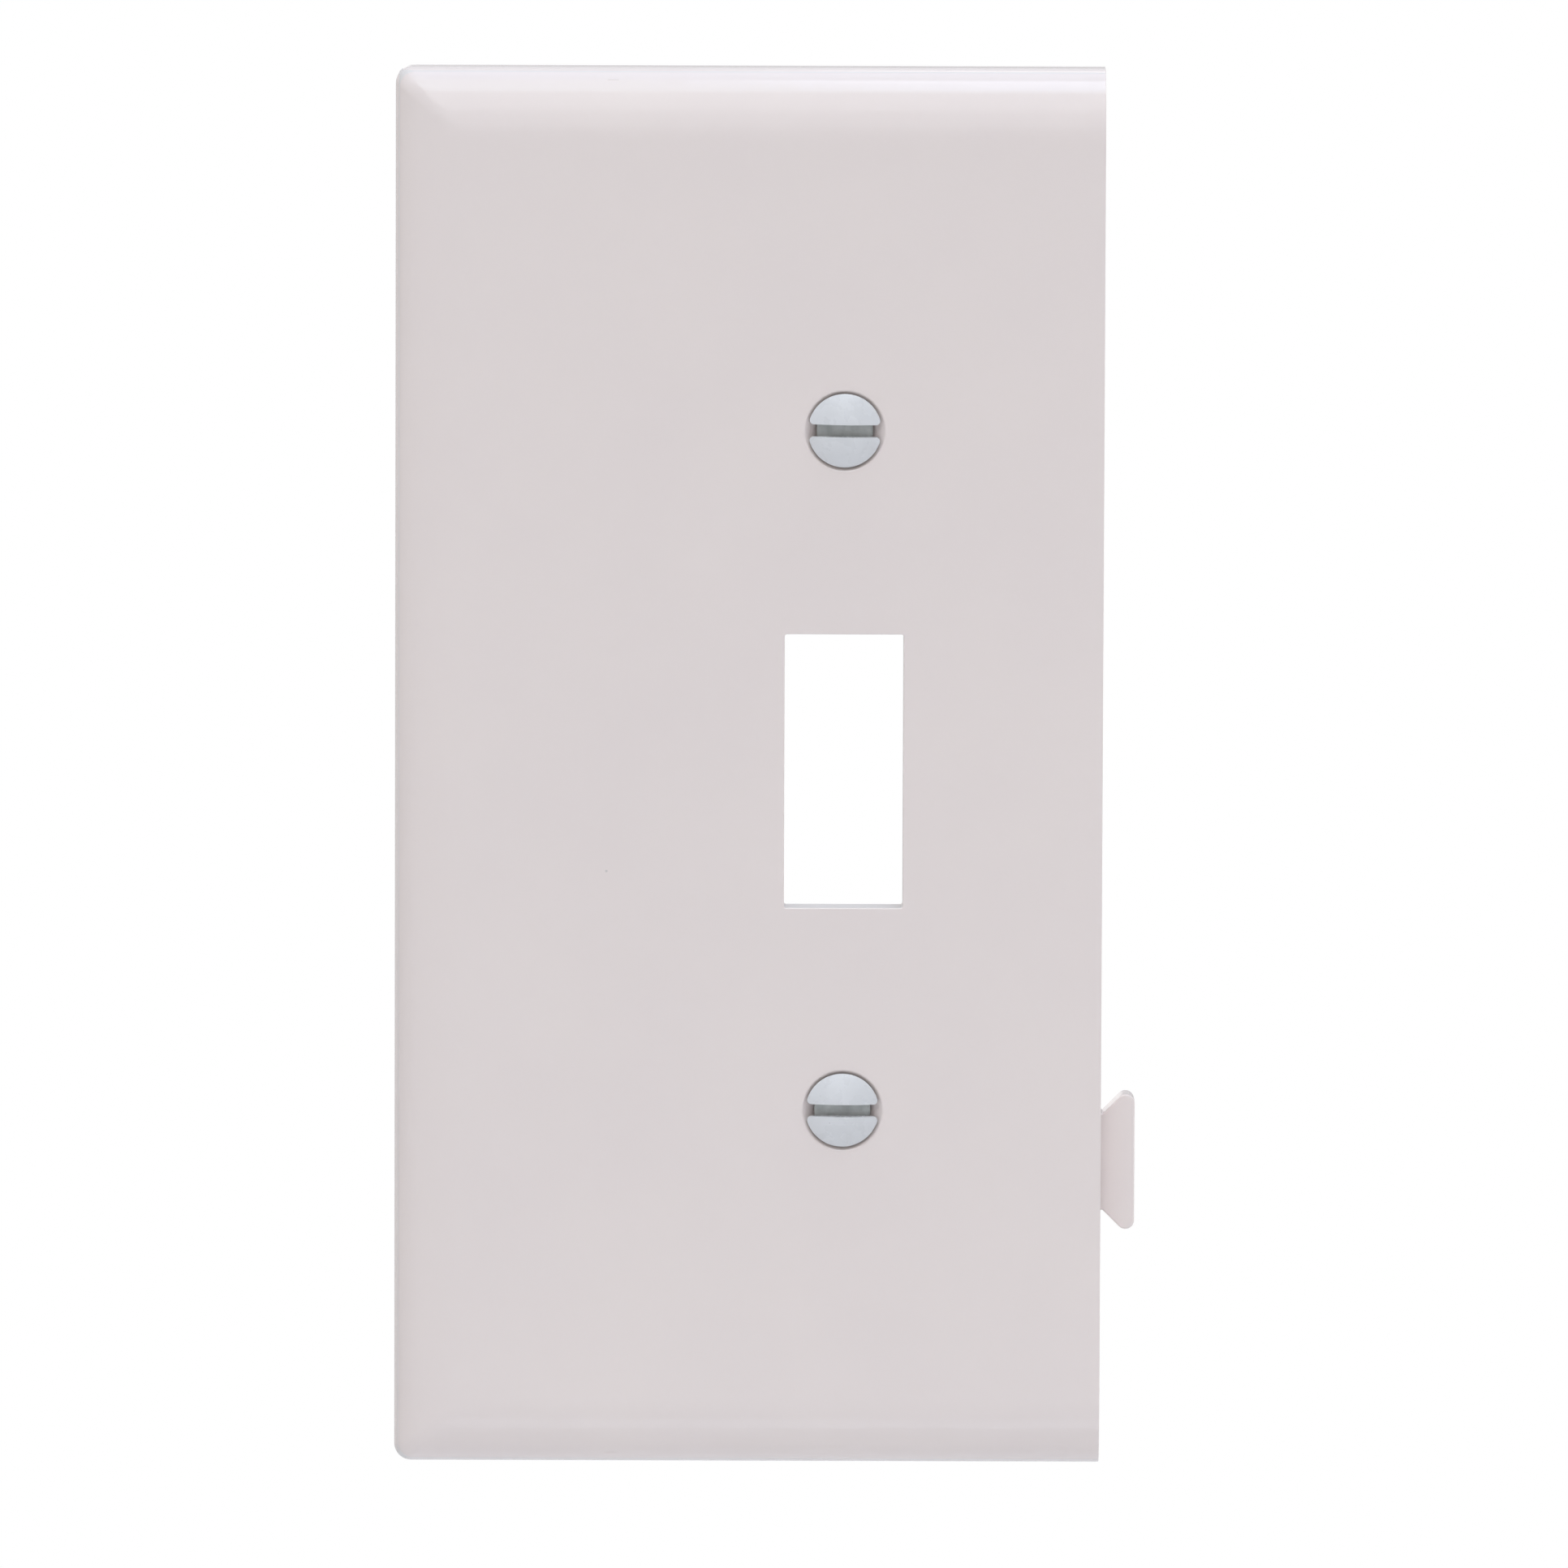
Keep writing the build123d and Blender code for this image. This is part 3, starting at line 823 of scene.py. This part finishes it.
world = bpy.data.worlds.new("studio")
bpy.context.scene.world = world
world.use_nodes = True
nodes, links = world.node_tree.nodes, world.node_tree.links
ambient = nodes["Background"]
ambient.inputs["Color"].default_value = (1, 1, 1, 1)
direction = nodes.new("ShaderNodeTexCoord")
slope = nodes.new("ShaderNodeVectorMath")
slope.operation = "DOT_PRODUCT"
slope.inputs[1].default_value = AMBIENT_SLOPE
level = nodes.new("ShaderNodeMath")
level.operation = "ADD"
level.inputs[1].default_value = AMBIENT
links.new(direction.outputs["Generated"], slope.inputs[0])
towards_glow = nodes.new("ShaderNodeVectorMath")
towards_glow.operation = "DOT_PRODUCT"
towards_glow.inputs[1].default_value = GLOW_DIRECTION
behind = nodes.new("ShaderNodeMapRange")
glow_range = zip(("From Min", "From Max", "To Min", "To Max"), (*GLOW_EDGE, 0.0, BEHIND_GLOW))
for name, number in glow_range:
    behind.inputs[name].default_value = number
total = nodes.new("ShaderNodeMath")
total.operation = "ADD"
links.new(slope.outputs["Value"], level.inputs[0])
links.new(direction.outputs["Generated"], towards_glow.inputs[0])
links.new(towards_glow.outputs["Value"], behind.inputs["Value"])
links.new(level.outputs[0], total.inputs[0])
links.new(behind.outputs["Result"], total.inputs[1])
links.new(total.outputs[0], ambient.inputs["Strength"])
backdrop = nodes.new("ShaderNodeBackground")
backdrop.inputs["Color"].default_value = (1, 1, 1, 1)
backdrop.inputs["Strength"].default_value = 1.0
choose = nodes.new("ShaderNodeMixShader")
path = nodes.new("ShaderNodeLightPath")
links.new(path.outputs["Is Camera Ray"], choose.inputs[0])
links.new(ambient.outputs[0], choose.inputs[1])
links.new(backdrop.outputs[0], choose.inputs[2])
links.new(choose.outputs[0], nodes["World Output"].inputs["Surface"])

# A bank of ceiling softboxes in front of the plate and over it, which the top bevel mirrors.
BANK = (0.85, 0.96, 1.0)
overhead("bank_front", (-0.8, 0.8), (42.4, 66), 1.73, BANK)
overhead("bank_middle", (-0.8, 0.8), (66, 84), 1.1, BANK)
overhead("bank_rear", (-0.8, 0.8), (84, 122), 0.9, (0.54, 0.72, 1.0))
overhead("bank_right", (0.8, 2.2), (42.4, 84), 1.28)
overhead("tube_left", (-0.8, -0.045), (123.5, 134), 0.3)
overhead("tube_right", (0.002, 0.8), (123.5, 134), 1.1)
# Lamps hung a little lower, in front of the bank.
overhead("bank_edge", (-0.8, 0.8), (42.4, 48), 0.85, BANK, level=1.36)
overhead("lamp_left", (-0.6, -0.045), (48, 83.5), 0.42, (0.9, 1.0, 0.95), spin=0.56, level=1.36)
overhead("lamp_right", (0.002, 0.6), (48, 83.5), 1.95, (0.61, 0.73, 1.0), spin=1.4, level=1.36)
overhead("lamp_right_middle", (0.002, 0.6), (66, 83.5), 0.6, spin=1.4, level=1.32)
# Softboxes in front: two panels grade the top bevel into the face, a strip lights the bottom bevel.
add_area("front_high", (0.0, -2.4, 1.62), (1.6, 1.10), 1.25, aim=(0.0, 0.0, 1.62))
add_area("front_middle", (0.0, -2.4, 0.73), (1.6, 0.68), 0.5, aim=(0.0, 0.0, 0.73))
strip_place, strip_aim = (-0.006, -0.26, -0.228), (-0.006, 0.0, -0.058)
add_area("low_strip", strip_place, (0.15, 0.048), 0.7, (0.8, 0.85, 1.0), aim=strip_aim)
# One beside the plate, behind its face, lights the joint edge alone.
add_area("right_side", (1.5, 0.65, 0.1), (1.2, 1.6), 1.5, aim=(0.0, 0.65, 0.1))

view = bpy.context.scene.view_settings
view.view_transform = "Standard"
view.look = "None"
